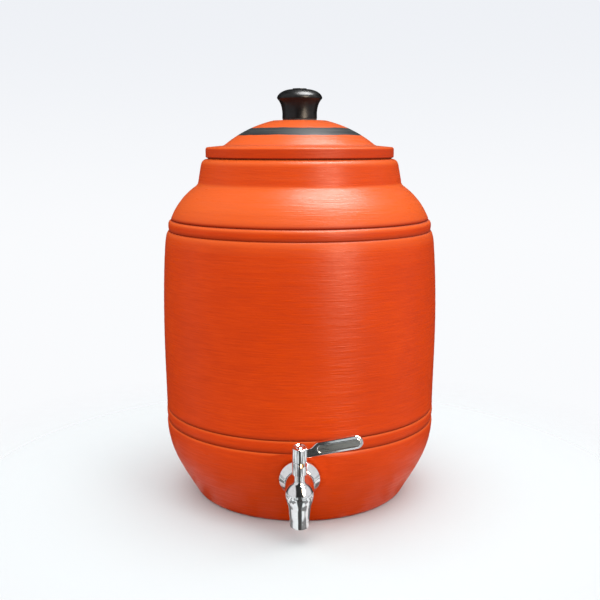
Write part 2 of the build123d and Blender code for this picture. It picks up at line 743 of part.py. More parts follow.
# Lever: cast hub with an upright blade and a bare oval panel on its face
blade_direction = Vector(1, 0, 0) * cos(radians(blade_rise)) + valve_direction * sin(radians(blade_rise))
blade_foot = valve_centre + valve_direction * (hub_base + blade_base_offset)
blade_plane = Plane(origin=blade_foot, x_dir=blade_direction, z_dir=shank_direction)
blade_end_radius = blade_width / 2
panel_end = blade_reach - panel_end_margin
panel_length = panel_end - panel_start_reach
panel_middle = (panel_end + panel_start_reach) / 2
hub_dish_radius = hub_radius - hub_rim_width
dish_floor = hub_top_height - hub_dish_depth
hub_web_top = stem_top_height + hub_web
with BuildPart() as lever:
    with BuildSketch(blade_plane):
        with BuildLine():
            blade_low = Line((0, 0), (blade_reach - blade_end_radius, 0))
            blade_end = ThreePointArc(
                blade_low @ 1, (blade_reach, blade_end_radius), (blade_reach - blade_end_radius, blade_width)
            )
            blade_high = Line(blade_end @ 1, (blade_shoulder_reach, blade_width))
            blade_shoulder = Spline(
                blade_high @ 1, (blade_neck_reach, blade_root_width), tangents=[(-1, 0), (-1, 0)]
            )
            blade_root = Line(blade_shoulder @ 1, (0, blade_root_width))
            Line(blade_root @ 1, (0, 0))
        make_face()
    extrude(amount=blade_thickness / 2, both=True)
    fillet(lever.faces().filter_by(shank_axis).edges(), radius=blade_edge_round)
    with BuildSketch(blade_plane.offset(blade_thickness / 2)):
        with Locations((panel_middle, panel_offset)):
            SlotOverall(panel_length, panel_width)
    extrude(amount=panel_rim_proud)
    with BuildSketch(blade_plane.offset(blade_thickness / 2 + panel_rim_proud)):
        with Locations((panel_middle, panel_offset)):
            SlotOverall(panel_length - 2 * panel_rim, panel_width - 2 * panel_rim)
    extrude(amount=-panel_rim_proud - panel_depth, mode=Mode.SUBTRACT)
    with BuildSketch(blade_plane):
        with Locations((0, blade_root_width / 2)):
            Rectangle(2 * (hub_radius + hub_pad_proud), hub_pad_height)
    extrude(amount=hub_pad_thickness / 2, both=True)
    with BuildSketch(valve_plane):
        with Locations((-2 * hub_radius, 0)):
            Rectangle(4 * hub_radius, 4 * hub_radius)
    extrude(amount=hub_top_height + blade_reach, mode=Mode.SUBTRACT)
    with BuildSketch(valve_plane.offset(hub_base)):
        Circle(hub_radius)
    extrude(amount=hub_top_height - hub_base)
    hub_crown = lever.faces().filter_by(valve_axis).sort_by(valve_axis)[-1]
    fillet(hub_crown.edges(), radius=hub_round)
    with BuildSketch(valve_plane.offset(dish_floor)):
        Circle(hub_dish_radius)
    extrude(amount=hub_dish_depth, mode=Mode.SUBTRACT)
    with BuildSketch(valve_plane.offset(hub_web_top)):
        Circle(lever_screw_head_radius + screw_clearance)
    extrude(amount=dish_floor - hub_web_top, mode=Mode.SUBTRACT)
    with BuildSketch(valve_plane.offset(hub_base)):
        Circle(lever_screw_radius + screw_clearance)
    extrude(amount=dish_floor - hub_base, mode=Mode.SUBTRACT)
    with BuildSketch(valve_plane.offset(hub_base)):
        Rectangle(stem_square + 2 * fit_clearance, stem_square + 2 * fit_clearance)
    extrude(amount=stem_top_height + screw_clearance - hub_base, mode=Mode.SUBTRACT)
    tab_end_angle = notch_start_angle + notch_angle - stop_clearance_angle - 90
    with BuildSketch(valve_plane.offset(bonnet_collar_floor + hub_gap)):
        with BuildLine():
            tab_outside = CenterArc(
                (0, 0), bonnet_radius - fit_clearance, tab_end_angle - stop_tab_angle, stop_tab_angle
            )
            tab_inside = CenterArc(
                (0, 0),
                bonnet_radius - bonnet_collar_wall + fit_clearance,
                tab_end_angle - stop_tab_angle,
                stop_tab_angle,
            )
            Line(tab_outside @ 0, tab_inside @ 0)
            Line(tab_outside @ 1, tab_inside @ 1)
        make_face()
    extrude(amount=bonnet_notch_depth)
lever.part.label = "lever"

# Screw that holds the lever on the stem, and the domed cap over it
with BuildPart() as lever_screw:
    with BuildSketch(valve_plane.offset(hub_web_top - lever_screw_length)):
        Circle(lever_screw_radius)
    extrude(amount=lever_screw_length)
    with BuildSketch(valve_plane.offset(hub_web_top)):
        Circle(lever_screw_head_radius)
    extrude(amount=lever_screw_head_height)
    with BuildSketch(valve_plane.offset(hub_web_top + lever_screw_head_height)):
        RegularPolygon(lever_screw_key_radius, 6)
    extrude(amount=-lever_screw_key_depth, mode=Mode.SUBTRACT)
lever_screw.part.label = "lever_screw"

cap_radius = hub_dish_radius - fit_clearance
with BuildPart() as lever_cap:
    with BuildSketch(valve_section):
        with BuildLine():
            cap_base = Line((0, dish_floor), (cap_radius, dish_floor))
            cap_side = Line(cap_base @ 1, (cap_radius, dish_floor + lever_cap_edge))
            cap_dome = Bezier(
                cap_side @ 1,
                (cap_radius / 2, dish_floor + lever_cap_edge + lever_cap_rise),
                (0, dish_floor + lever_cap_edge + lever_cap_rise),
            )
            Line(cap_dome @ 1, (0, dish_floor))
        make_face()
    revolve(axis=valve_axis)
lever_cap.part.label = "lever_cap"

pieces = (
    jar_body, lid, knob, knob_cap, knob_bolt, knob_gasket, knob_washer, knob_nut,
    tap_body, tap_flange, outer_seal, inner_seal, inner_washer, back_nut,
    valve_ball, ball_seats, seat_retainer, bonnet, stem, stem_o_ring,
    lever, lever_screw, lever_cap,
)
for piece in pieces:
    export_step(piece.part, f"parts/{piece.part.label}.step")
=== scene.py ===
from math import atan2, cos, pi, radians, sin, sqrt, tan

import bmesh
import bpy
import numpy as np
from mathutils import Matrix, Vector


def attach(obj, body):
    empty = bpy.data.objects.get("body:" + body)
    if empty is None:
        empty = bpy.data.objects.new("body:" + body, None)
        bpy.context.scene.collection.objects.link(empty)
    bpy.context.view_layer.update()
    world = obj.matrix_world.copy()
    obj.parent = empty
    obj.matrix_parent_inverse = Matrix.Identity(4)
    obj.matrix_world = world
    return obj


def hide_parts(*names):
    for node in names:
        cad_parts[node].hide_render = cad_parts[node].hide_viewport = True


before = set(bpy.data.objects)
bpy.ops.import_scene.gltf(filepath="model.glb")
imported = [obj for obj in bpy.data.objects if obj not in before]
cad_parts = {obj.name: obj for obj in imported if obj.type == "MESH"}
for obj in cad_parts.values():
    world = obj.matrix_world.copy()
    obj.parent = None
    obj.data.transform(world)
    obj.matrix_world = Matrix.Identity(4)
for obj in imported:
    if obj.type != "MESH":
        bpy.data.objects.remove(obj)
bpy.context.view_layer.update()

# Jar body
# One vessel of red clay, thrown on the wheel. Two pairs of grooves are turned into its wall, a flat
# is pared low on the front for the tap, and the outside is rubbed smooth with a wet rib and fired.


def bezier(corners, steps):
    """Points of the curve with these corners, in millimetres, after its first point."""
    points = []
    for step in range(1, steps + 1):
        share = step / steps
        row = [np.array(corner, float) for corner in corners]
        while len(row) > 1:
            row = [a + (b - a) * share for a, b in zip(row, row[1:])]
        points.append(tuple(row[0]))
    return points


def arc(start, end, radius, steps):
    """Points after the first on the arc between two points, bulging to the right of the way it runs."""
    start, end = np.array(start, float), np.array(end, float)
    chord = end - start
    half = np.linalg.norm(chord) / 2
    side = np.array((-chord[1], chord[0])) / (2 * half)
    centre = (start + end) / 2 + side * sqrt(radius**2 - half**2)
    first, last = start - centre, end - centre
    turn = atan2(first[0] * last[1] - first[1] * last[0], first @ last)
    base = atan2(first[1], first[0])
    steps_on = [base + turn * step / steps for step in range(1, steps + 1)]
    return [(centre[0] + radius * cos(a), centre[1] + radius * sin(a)) for a in steps_on]


def turned(name, outline, place=Matrix.Identity(4), angles=None, wrap=True, form=None, paint=()):
    """Piece turned from an outline of (radius, height) in millimetres round the Z axis of its place.

    paint lists (first outline point, material number). form changes the points, given as arrays of
    radius, height and angle from the front. With wrap off the ends of the turn are capped."""
    outline = np.array(outline, float)
    angles = np.linspace(0, 2 * pi, 144, endpoint=False) if angles is None else np.array(angles)
    count, turns = len(outline), len(angles)
    radius = np.repeat(outline[:, :1], turns, axis=1)
    height = np.repeat(outline[:, 1:], turns, axis=1)
    around = np.repeat(angles[None, :], count, axis=0)
    if form:
        radius, height = form(radius, height, around)
    points = np.stack((radius * np.sin(around), -radius * np.cos(around), height), -1)
    faces, numbers = [], []
    closed = np.allclose(outline[0], outline[-1])
    starts = [first for first, _ in paint]
    for row in range(count - 1):
        below = row * turns
        above = 0 if closed and row == count - 2 else below + turns
        number = paint[max(k for k, first in enumerate(starts) if first <= row)][1] if paint else 0
        for step in range(turns if wrap else turns - 1):
            after = (step + 1) % turns
            faces.append((below + step, below + after, above + after, above + step))
            numbers.append(number)
    if not wrap:
        faces.append([row * turns for row in range(count - closed)])
        faces.append([row * turns + turns - 1 for row in reversed(range(count - closed))])
        numbers += [0, 0]
    mesh = bpy.data.meshes.new(name)
    mesh.from_pydata(points.reshape(-1, 3) / 1000, [], faces)
    mesh.polygons.foreach_set("material_index", numbers)
    return finish_mesh(name, mesh, place)


def finish_mesh(name, mesh, place):
    """Object of this mesh, with doubled points merged, faces outwards and smooth, moved to its place."""
    shape = bmesh.new()
    shape.from_mesh(mesh)
    bmesh.ops.remove_doubles(shape, verts=shape.verts, dist=1e-7)
    loose = [corner for corner in shape.verts if not corner.link_faces]
    bmesh.ops.delete(shape, geom=loose, context="VERTS")
    bmesh.ops.recalc_face_normals(shape, faces=shape.faces)
    for face in shape.faces:
        face.smooth = True
    shape.to_mesh(mesh)
    shape.free()
    mesh.set_sharp_from_angle(angle=radians(38))
    return stand(name, mesh, place)


def stand(name, mesh, place):
    """Object of this mesh, moved to its place."""
    mesh.transform(place)
    piece = bpy.data.objects.new(name, mesh)
    bpy.context.scene.collection.objects.link(piece)
    return piece


def dress(piece, body, slot, materials, *replaced):
    """Gives a piece its materials, its body and the nodes that it stands for."""
    for material in materials:
        piece.data.materials.append(material)
    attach(piece, body)
    if replaced:
        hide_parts(*replaced)


def mark(piece, name, share):
    """Gives each point of a piece a number from 0 to 1, found from its radius and height."""
    points = np.empty(len(piece.data.vertices) * 3)
    piece.data.vertices.foreach_get("co", points)
    points = points.reshape(-1, 3) * 1000
    layer = piece.data.attributes.new(name, "FLOAT", "POINT")
    layer.data.foreach_set("value", share(np.hypot(points[:, 0], points[:, 1]), points[:, 2]))


def add(tree, kind, inputs, **settings):
    """Adds one shader node. Each input is a value or another node's output."""
    made = tree.nodes.new("ShaderNode" + kind)
    for key, value in settings.items():
        setattr(made, key, value)
    for key, value in inputs.items():
        if isinstance(value, bpy.types.NodeSocket):
            tree.links.new(value, made.inputs[key])
        else:
            made.inputs[key].default_value = value
    return made


def finish(name, **values):
    """New material with these values on its shader. Gives the material, its nodes and its shader."""
    material = bpy.data.materials.new(name)
    material.use_nodes = True
    shader = material.node_tree.nodes["Principled BSDF"]
    for key, value in values.items():
        shader.inputs[key.replace("_", " ")].default_value = value
    return material, material.node_tree, shader


def ramp(tree, source, *stops):
    """Colour ramp over a source. Each stop is (position, colour)."""
    made = add(tree, "ValToRGB", {0: source})
    elements = made.color_ramp.elements
    while len(elements) < len(stops):
        elements.new(0.5)
    for element, (position, colour) in zip(elements, stops):
        element.position = position
        element.color = (*colour, 1)
    return made.outputs["Color"]


def spot(tree):
    """Where a point of the piece lies, in metres."""
    return add(tree, "TexCoord", {}).outputs["Object"]


def maths(tree, operation, *values):
    """One sum on these values."""
    return add(tree, "Math", dict(enumerate(values)), operation=operation).outputs[0]


def noise(tree, place, scale, detail, roughness=0.5):
    """Cloudy noise with this many cells in a metre."""
    values = {"Vector": place, "Scale": scale, "Detail": detail, "Roughness": roughness}
    return add(tree, "TexNoise", values).outputs[0]


def turned_noise(tree, along, across, detail):
    """Noise drawn out round the wheel's axis: along per metre of turn, across per metre of outline."""
    split = add(tree, "SeparateXYZ", {0: spot(tree)})
    level = add(tree, "CombineXYZ", {0: split.outputs[0], 1: split.outputs[1]})
    reach = add(tree, "VectorMath", {0: level.outputs[0]}, operation="LENGTH").outputs["Value"]
    stretched = add(tree, "VectorMath", {0: spot(tree), 1: (along, along, across)}, operation="MULTIPLY")
    values = {"Vector": stretched.outputs[0], "W": maths(tree, "MULTIPLY", reach, across)}
    values |= {"Scale": 1, "Detail": detail, "Roughness": 0.6}
    return add(tree, "TexNoise", values, noise_dimensions="4D").outputs[0]


def rescale(tree, source, start, end, low=0.0, high=1.0, smooth=False):
    """A source's range from start to end, stretched to run from low to high."""
    way = "SMOOTHSTEP" if smooth else "LINEAR"
    inputs = {0: source, 1: start, 2: end, 3: low, 4: high}
    return add(tree, "MapRange", inputs, interpolation_type=way).outputs[0]


def blend(tree, share, first, second):
    """Colour between two colours."""
    return add(tree, "Mix", {0: share, 6: first, 7: second}, data_type="RGBA").outputs[2]


def blend_values(tree, share, first, second):
    """Number between two numbers."""
    return add(tree, "Mix", {0: share, 2: first, 3: second}, data_type="FLOAT").outputs[0]


def clay(name, dark, middle, light, polish, streaks):
    """Fired clay: streaks round the wheel's axis from the rib, slow clouds of tone, a fine grain, a painted
    highlight that makes the clay paler where it faces up, and painted shade that makes it darker and rougher
    in the grooves."""
    material, tree, shader = finish(name, Roughness=polish, Specular_IOR_Level=0.11)
    lines = blend_values(tree, 0.78, turned_noise(tree, 26, 300, 3), turned_noise(tree, 46, 760, 3))
    cloud = noise(tree, spot(tree), 13, 4, 0.55)
    grain = noise(tree, spot(tree), 1100, 2, 0.6)
    tone = blend_values(tree, 0.10, blend_values(tree, 0.40, lines, cloud), grain)
    colour = ramp(tree, tone, (0.33, dark), (0.5, middle), (0.67, light))
    facing = add(tree, "NewGeometry", {}).outputs["Normal"]
    facing_up = add(tree, "SeparateXYZ", {0: facing}).outputs[2]
    # Painted highlight: clay that faces up is made paler and more orange, standing in for the light from
    # above.
    painted_top_light = rescale(tree, facing_up, 0.06, 0.55, 0, 0.68)
    colour = blend(tree, painted_top_light, colour, (0.80, 0.135, 0.020, 1))
    # Painted shade: the 'settled' attribute darkens and roughens the clay where shade falls in grooves and
    # creases.
    settled = add(tree, "Attribute", {}, attribute_name="settled").outputs["Fac"]
    painted_shade_tone = tuple(0.52 * c for c in dark)
    colour = blend(tree, settled, colour, (*painted_shade_tone, 1))
    tree.links.new(colour, shader.inputs["Base Color"])
    gloss = rescale(tree, lines, 0.36, 0.64, polish + 0.10, polish - 0.08)
    tree.links.new(rescale(tree, settled, 0, 1, gloss, 0.8), shader.inputs["Roughness"])
    ridges = add(tree, "Bump", {"Height": lines, "Strength": streaks, "Distance": 0.0004}).outputs[0]
    pores = {"Height": grain, "Strength": 0.15, "Distance": 0.0001, "Normal": ridges}
    tree.links.new(add(tree, "Bump", pores).outputs[0], shader.inputs["Normal"])
    return material


rubbed_dark, rubbed_middle, rubbed_light = (0.57, 0.039, 0.0006), (0.66, 0.049, 0.0008), (0.75, 0.065, 0.0020)
raw_dark, raw_middle, raw_light = (0.42, 0.085, 0.022), (0.56, 0.130, 0.038), (0.68, 0.180, 0.060)
rubbed_clay = clay("rubbed_clay", rubbed_dark, rubbed_middle, rubbed_light, polish=0.35, streaks=1.0)
raw_clay = clay("raw_clay", raw_dark, raw_middle, raw_light, polish=0.75, streaks=0.60)

# Radii and heights in millimetres, from the flat foot up to the rim of the mouth.
foot, foot_edge, low_tier, low_band, belly_foot = 97.6, 103.7, 129.5, 129.6, 129.3
belly_top, high_band, shoulder_foot, collar_foot, collar_top = 127.6, 124.3, 121.4, 95.6, 92.92
mouth, rim, inner_floor = 83.5, 319.5, 12
groove_floors = {73.3: 127.8, 84.6: 127.8, 253.4: 123.2, 263.4: 120.0}


def tier_top(side, height, lean, groove):
    """Rounded top of a tier, from its side down into the groove at this height."""
    corner = side - (groove - height) * tan(radians(lean))
    return bezier([(side, height), (corner, groove), (groove_floors[groove], groove)], 11)


def tier_foot(groove, side):
    """Rounded foot of the tier above a groove, out to its side."""
    return bezier([(groove_floors[groove], groove), (side, groove), (side, groove + 1.6)], 7)


jar_outline = [(0, 0), (60, 0), (foot, 0)]
jar_outline += bezier([(foot, 0), (100.9, 0), (foot_edge, 5)], 8)
jar_outline += bezier([(foot_edge, 5), (116.6, 27.7), (128.1, 43.2), (low_tier, 69.7)], 60)
jar_outline += tier_top(low_tier, 69.7, 0, 73.3) + tier_foot(73.3, 128.7)
jar_outline += bezier([(128.7, 74.9), (low_band, 78.0), (low_band, 81.0)], 6)
jar_outline += tier_top(low_band, 81.0, 0, 84.6) + tier_foot(84.6, belly_foot)
jar_outline += bezier([(belly_foot, 86.2), (belly_foot, 123.2), (132.84, 180.6), (belly_top, 240.5)], 70)
jar_outline += tier_top(belly_top, 240.5, 5, 253.4) + tier_foot(253.4, 124.0)
jar_outline += bezier([(124.0, 255.0), (high_band, 256.7), (high_band, 258.4)], 4)
jar_outline += tier_top(high_band, 258.4, 0, 263.4) + tier_foot(263.4, shoulder_foot)
jar_outline += arc((shoulder_foot, 265.0), (98.1, 294.2), 66, 24)
jar_outline += bezier([(98.1, 294.2), (96.0, 295.9), (collar_foot, 298.0)], 6)
jar_outline += bezier([(collar_foot, 298.0), (94.3, 305.8), (collar_top, 313.5)], 8)
jar_outline += bezier([(collar_top, 313.5), (91.9, rim), (85.9, rim)], 14)
jar_outline += [(84.7, rim)]
jar_outline += bezier([(84.7, rim), (mouth, rim), (mouth, 318.3)], 6)
mouth_start = len(jar_outline)
jar_outline += [(mouth, 307), (mouth, 295.9)]
jar_outline += bezier([(mouth, 295.9), (100.4, 286.9), (118.6, 265), (118.6, 240.5)], 14)
jar_outline += bezier([(118.6, 240.5), (122.4, 190), (121.3, 120), (120.5, 73.3)], 14)
jar_outline += bezier([(120.5, 73.3), (120.5, 48.2), (109.2, 33.8), (101.7, 20)], 14)
jar_outline += bezier([(101.7, 20), (96.65, inner_floor), (86, inner_floor)], 7)
jar_outline += [(40, inner_floor), (0, inner_floor)]

seat_lean = radians(11)
seat_reach, seat_height = 123.787, 51.0
flat_turn, flat_foot, flat_head, flat_softness = radians(26), 18, 92, 0.45


def thrown(radius, height, around):
    """The hand's unevenness in the wall, and the flat for the tap, whose edge is softened."""
    wave = 0.10 * np.sin(2 * around + height / 31 + 1.1) + 0.06 * np.sin(3 * around - height / 19)
    wave += 0.035 * np.sin(height * 0.92 + 1.7 * np.sin(around))
    wave += 0.03 * np.sin(height * 0.53 - 2.1 * np.sin(around + 1))
    standing = np.clip(height / 12, 0, 1) * np.clip((316 - height) / 8, 0, 1)
    radius = radius + np.where(radius > 60, wave * standing, 0)
    flat = (seat_reach + (height - seat_height) * tan(seat_lean)) / np.maximum(np.cos(around), 0.5)
    share = np.clip(0.5 + (flat - radius) / (2 * flat_softness), 0, 1)
    pared = flat + (radius - flat) * share - flat_softness * share * (1 - share)
    low_front = (np.abs(around) < flat_turn) & (height > flat_foot) & (height < flat_head)
    outside = radius > np.maximum(93.0, 121.5 - np.clip(74 - height, 0, 60) * 0.5)
    return np.where(low_front & outside, np.minimum(pared, radius), radius), height


def painted_groove_shade(radius, height):
    """How much painted shade the clay gets here: most on the floor of a groove and a little way above it."""
    share = np.zeros_like(height)
    for groove, floor_radius in groove_floors.items():
        above = height - groove
        near = np.where(above > 0, 0.8 * np.exp(-((above / 2.4) ** 2)), np.exp(-((above / 0.5) ** 2)))
        share = np.maximum(share, near * (radius > floor_radius - 2.5))
    return share


front = np.radians(np.arange(-26, 26.01, 0.65))
rest = np.radians(np.linspace(26, 334, 207)[1:-1])
jar_paint = [(0, 0), (mouth_start, 1)]
jar = turned("clay_jar", jar_outline, angles=np.concatenate((front, rest)), form=thrown, paint=jar_paint)
dress(jar, "jar", "terracotta", [rubbed_clay, raw_clay], "jar_body")
# Painted shade: the 'settled' numbers darken the clay in each groove and a little way above it.
mark(jar, "settled", painted_groove_shade)

# Lid
# Clay lid turned like the jar: a flat rim that rests on the mouth, a low dome, and a lip below that
# keeps it centred. A band of black slip is brushed round the dome while the lid turns.
dome_middle, dome_outer, dome_inner = 246.7, 110.85, 104.85
dome_edge, band_inside, band_outside = 69.0, 45.8, 58.2
lid_bore, crown_flat, crown_top, crown_under = 3.35, 25.5, 354.7, 347.1
lip_inside, lip_outside, lip_foot = 75.9, 82.1, 310.5
lid_edge, edge_foot, edge_top = 88.35, 320.5, 330.3


def dome(radius, distance):
    """Point of a sphere about the dome's middle, this far from the lid's axis."""
    return (distance, dome_middle + sqrt(radius**2 - distance**2))


lid_outline = [(lid_bore, crown_under), (20, crown_under)]
lid_outline += [dome(dome_inner, distance) for distance in np.linspace(30.3, lip_inside, 24)]
lid_outline += [(lip_inside, 315), (lip_inside, lip_foot), (80.6, lip_foot)]
lid_outline += bezier([(80.6, lip_foot), (lip_outside, lip_foot), (lip_outside, 312)], 6)
lid_outline += [(lip_outside, 319.3), (82.2, rim), (85.9, rim)]
lid_outline += bezier([(85.9, rim), (86.3, rim), (86.4, 320.2), (87.0, edge_foot)], 4)
edge_start = len(lid_outline)
lid_outline += bezier([(87.0, edge_foot), (lid_edge, 320.6), (lid_edge, 321.7)], 8)
lid_outline += [(lid_edge, 324.5), (lid_edge, 327.9)]
lid_outline += bezier([(lid_edge, 327.9), (lid_edge, 330.1), (86.1, edge_top)], 12)
lid_outline += [(80, 330.87), (72.9, 331.53)]
lid_outline += bezier([(72.9, 331.53), (71.2, 331.7), (69.7, 332.9)], 8)
lid_outline += [dome(dome_outer, distance) for distance in np.linspace(dome_edge, band_outside, 10)]
band_start = len(lid_outline) - 1
lid_outline += [dome(dome_outer, distance) for distance in np.linspace(band_outside - 0.7, band_inside, 12)]
band_end = len(lid_outline) - 1
lid_outline += [dome(dome_outer, distance) for distance in np.linspace(band_inside - 0.9, crown_flat, 16)]
lid_outline += [(24.6, 354.75), (16.5, crown_top), (15.0, crown_top), (lid_bore, crown_top)]
lid_outline += [(lid_bore, crown_under)]


def lid_form(radius, height, around):
    """Slight unevenness of the turned lid, and the brush's wander along the edges of the band."""
    wave = 0.07 * np.sin(2 * around + radius / 17) + 0.05 * np.sin(3 * around - height / 9 + 0.6)
    wander = 0.28 * np.sin(5 * around + 0.4) + 0.18 * np.sin(11 * around + 2.0)
    wander += 0.10 * np.sin(23 * around)
    surface = dome_middle + np.sqrt(dome_outer**2 - np.minimum(radius, 70) ** 2)
    on_dome = (radius > 40) & (radius < 66) & (np.abs(height - surface) < 0.5)
    edge = np.exp(-(((radius - band_outside) / 2.5) ** 2)) + np.exp(-(((radius - band_inside) / 2.5) ** 2))
    moved = radius + np.where(on_dome, wander * edge, 0)
    settled = np.where(on_dome, dome_middle + np.sqrt(dome_outer**2 - np.minimum(moved, 70) ** 2), height)
    ripple = np.where((radius > 20) & (height > 322), wave * np.clip((radius - 20) / 20, 0, 1) * 0.6, 0)
    return moved + np.where(on_dome, 0, ripple * 0.5), settled + np.where(height > 322, ripple, 0)


def painted_lid_shade(radius, height):
    """Painted shade on the lid: in the crease round the dome, under the edge and down its side."""
    crease = 0.5 * np.exp(-(((radius - 71.3) / 1.0) ** 2))
    under_edge = 0.9 * (radius > 85)
    side = 0.22 * (radius > 88) * (height < 328.5)
    return np.where(height > 330, crease, np.where(height < 321.3, under_edge, side))


def mottle(tree, shader, pattern, tones, gloss, relief, depth, bumps=None):
    """Colour, gloss and fine relief that follow a pattern, or relief that follows bumps of its own.

    tones are two stops of a colour ramp, and gloss is what rescale takes after its source."""
    tree.links.new(ramp(tree, pattern, *tones), shader.inputs["Base Color"])
    if gloss:
        tree.links.new(rescale(tree, pattern, *gloss), shader.inputs["Roughness"])
    values = {"Height": bumps or pattern, "Strength": relief, "Distance": depth}
    tree.links.new(add(tree, "Bump", values).outputs[0], shader.inputs["Normal"])


slip_colour = (0.030, 0.034, 0.035, 1)
black_slip, tree, shader = finish("black_slip", Base_Color=slip_colour, Roughness=0.5, Specular_IOR_Level=0.2)
brush_marks = turned_noise(tree, 16, 420, 4)
slip_tones = [(0.3, (0.022, 0.026, 0.027)), (0.7, (0.050, 0.056, 0.057))]
mottle(tree, shader, brush_marks, slip_tones, (0.3, 0.7, 0.36, 0.55), 0.25, 0.0003)

lid_angles = np.linspace(0, 2 * pi, 288, endpoint=False)
lid_paint = [(0, 1), (edge_start, 0), (band_start, 2), (band_end, 0)]
lid = turned("clay_lid", lid_outline, angles=lid_angles, form=lid_form, paint=lid_paint)
dress(lid, "lid", "terracotta", [rubbed_clay, raw_clay, black_slip], "lid")
# Painted shade: the 'settled' numbers darken the lid in the crease round the dome, under its edge and down
# its side.
mark(lid, "settled", painted_lid_shade)

# Knob with its bolt
# Moulded black grip with a waist, drilled through for a steel bolt that clamps it to the lid over a
# rubber gasket. A pressed disc hides the bolt's head; washer and nut sit under the lid's crown.


def eased(corners, steps=5):
    """Outline through corners of (radius, height, rounding), with a line close beside each rounding."""
    points = []
    for index, corner in enumerate(corners):
        here = np.array(corner[:2], float)
        rounding = corner[2] if len(corner) > 2 else 0
        if not rounding or index in (0, len(corners) - 1):
            points.append(tuple(here))
            continue
        to_before = np.array(corners[index - 1][:2], float) - here
        to_after = np.array(corners[index + 1][:2], float) - here
        start = here + to_before / np.linalg.norm(to_before) * rounding
        end = here + to_after / np.linalg.norm(to_after) * rounding
        points += [tuple(start + (start - here) * 0.4), tuple(start)]
        points += bezier([start, here, end], steps)
        points.append(tuple(end + (end - here) * 0.4))
    return points


knob_black = (0.016, 0.017, 0.018, 1)
phenolic, tree, shader = finish("black_moulded", Base_Color=knob_black, Roughness=0.3, Specular_IOR_Level=0.2)
haze = noise(tree, spot(tree), 120, 5, 0.65)
orange_peel = noise(tree, spot(tree), 1100, 2, 0.5)
haze_tones = [(0.35, (0.005, 0.0055, 0.006)), (0.7, (0.014, 0.015, 0.016))]
mottle(tree, shader, haze, haze_tones, (0.3, 0.7, 0.24, 0.38), 0.10, 0.0002, bumps=orange_peel)

bolt_bore, knob_foot, waist, knob_lip, crown_edge = 3.4, 356.3, 16.2, 21.15, 7.6
knob_outline = eased([(bolt_bore, knob_foot), (16.3, knob_foot, 0.5), (16.25, 358.5), (waist, 361.2)])
knob_outline += bezier([(waist, 361.2), (16.6, 370.0), (20.6, 374.3)], 20)
knob_outline += bezier([(20.6, 374.3), (knob_lip, 374.9), (knob_lip, 375.4)], 6)
knob_outline += bezier([(knob_lip, 375.4), (knob_lip, 378.3), (16.5, 382.95), (crown_edge, 383.35)], 26)
knob_outline += [(6.9, 383.3), (6.65, 383.0), (6.65, 382.0), (6.0, 382.0), (6.0, 378.5)]
knob_outline += [(bolt_bore, 378.5), (bolt_bore, knob_foot)]
dress(turned("moulded_knob", knob_outline), "lid", "black_phenolic", [phenolic], "knob")

disc_radius, disc_under, disc_top = 6.6, 381.9, 384.1
disc_outline = [(0, disc_under)]
disc_outline += eased([(disc_radius, disc_under), (disc_radius, disc_top, 0.5), (4.6, disc_top)])
disc_outline += [(4.4, 384.05), (4.1, 383.85), (0, 383.8)]
dress(turned("knob_disc", disc_outline), "lid", "black_phenolic", [phenolic], "knob_cap")

steel, tree, shader = finish("zinc_steel", Base_Color=(0.46, 0.46, 0.45, 1), Metallic=1, Roughness=0.35)
spangle = noise(tree, spot(tree), 500, 5, 0.7)
steel_tones = [(0.3, (0.34, 0.34, 0.33)), (0.7, (0.58, 0.58, 0.57))]
mottle(tree, shader, spangle, steel_tones, (0.3, 0.7, 0.25, 0.48), 0.15, 0.0001)

rubber, tree, shader = finish("black_rubber", Base_Color=(0.02, 0.02, 0.02, 1), Roughness=0.7)
bloom = noise(tree, spot(tree), 350, 5, 0.7)
rubber_tones = [(0.35, (0.012, 0.012, 0.012)), (0.75, (0.036, 0.036, 0.035))]
mottle(tree, shader, bloom, rubber_tones, (0.3, 0.7, 0.55, 0.8), 0.3, 0.0001)


def coat(material, *names):
    """Puts a material on nodes that are shown as they are."""
    for name in names:
        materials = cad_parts[name].data.materials
        materials.clear()
        materials.append(material)


coat(steel, "knob_bolt", "knob_washer", "knob_nut")
gasket_radius = 16.0
gasket_corners = [(bolt_bore, crown_top), (gasket_radius, crown_top, 0.3), (gasket_radius, knob_foot, 0.3)]
gasket_outline = eased(gasket_corners + [(bolt_bore, knob_foot)]) + [(bolt_bore, crown_top)]
dress(turned("knob_gasket_ring", gasket_outline), "lid", "black_rubber", [rubber], "knob_gasket")

# Fittings in the wall
# Rubber seals press on both faces of the clay round the shank, and a steel washer and a brass back nut
# inside the jar draw them tight.
brass, tree, shader = finish("turned_brass", Base_Color=(0.78, 0.60, 0.26, 1), Metallic=1, Roughness=0.25)
tarnish = noise(tree, spot(tree), 260, 5, 0.65)
brass_tones = [(0.3, (0.62, 0.44, 0.15)), (0.7, (0.88, 0.70, 0.34))]
mottle(tree, shader, tarnish, brass_tones, (0.3, 0.7, 0.18, 0.36), 0.1, 0.0001)

coat(rubber, "outer_seal", "inner_seal")
coat(steel, "inner_washer")
coat(brass, "back_nut")

# Flange
# Spun brass rose with a chrome plate: a thin rim on the seal, then a cone that closes on the barrel.
seat = Vector((0, -seat_reach, seat_height)) / 1000
outwards = Vector((0, -cos(seat_lean), -sin(seat_lean)))
upwards = Vector((0, -sin(seat_lean), cos(seat_lean)))
sideways = Vector((1, 0, 0))
shank_place = Matrix.Translation(seat) @ Matrix((sideways, upwards, outwards)).transposed().to_4x4()

chrome, tree, shader = finish("chrome_plate", Base_Color=(0.80, 0.80, 0.82, 1), Metallic=1, Roughness=0.07)
swirl = noise(tree, spot(tree), 70, 2, 0.5)
film = noise(tree, spot(tree), 420, 5, 0.7)
chrome_tones = [(0.3, (0.74, 0.74, 0.75)), (0.7, (0.86, 0.86, 0.88))]
mottle(tree, shader, film, chrome_tones, (0.35, 0.75, 0.045, 0.13), 0.10, 0.0006, bumps=swirl)

